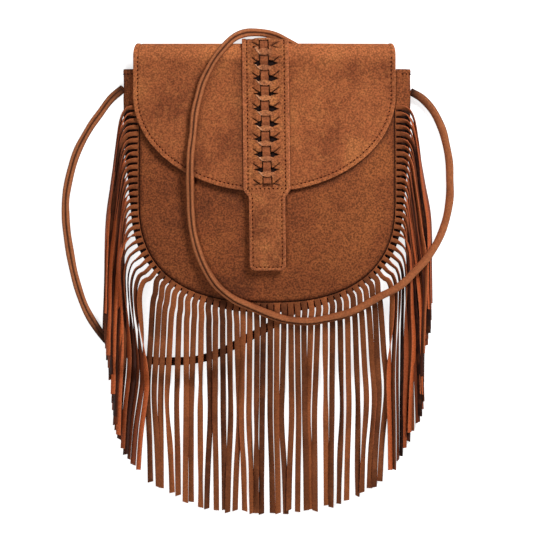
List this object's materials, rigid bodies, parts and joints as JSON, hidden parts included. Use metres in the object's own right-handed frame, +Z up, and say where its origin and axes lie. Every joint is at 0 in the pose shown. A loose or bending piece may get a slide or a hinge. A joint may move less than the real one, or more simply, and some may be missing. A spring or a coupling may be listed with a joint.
{
  "type": "fringed suede shoulder bag",
  "caption": "Soft saddle-shaped suede shoulder bag with a flap, a braided strip ending in a snap tab, a long cut fringe and a rolled suede strap, lying on its back.",
  "frame": {"origin": "on the resting face of the back panel, at the middle of the bag's width", "axes": "+Z up out of the front, +Y towards the bag's mouth and flap fold, +X to the right as the front is seen"},
  "size_m": [0.3624, 0.448, 0.0472],
  "materials": {
    "cognac_suede": "brushed suede",
    "fringe_suede": "cut suede strips",
    "strap_suede": "rolled suede cord",
    "antique_brass": "aged satin"
  },
  "bodies": {
    "root": {"front_panel": "cognac_suede", "back_panel": "cognac_suede", "gusset": "cognac_suede", "flap": "cognac_suede", "braided_strip": "cognac_suede", "braid_lace": "cognac_suede", "tab_lining": "cognac_suede", "snap_socket": "antique_brass", "snap_socket_washer": "antique_brass", "snap_stud": "antique_brass", "snap_stud_washer": "antique_brass", "fringe_left": "fringe_suede", "fringe_bottom": "fringe_suede", "fringe_right": "fringe_suede", "strap": "strap_suede"}
  },
  "joints": []
}
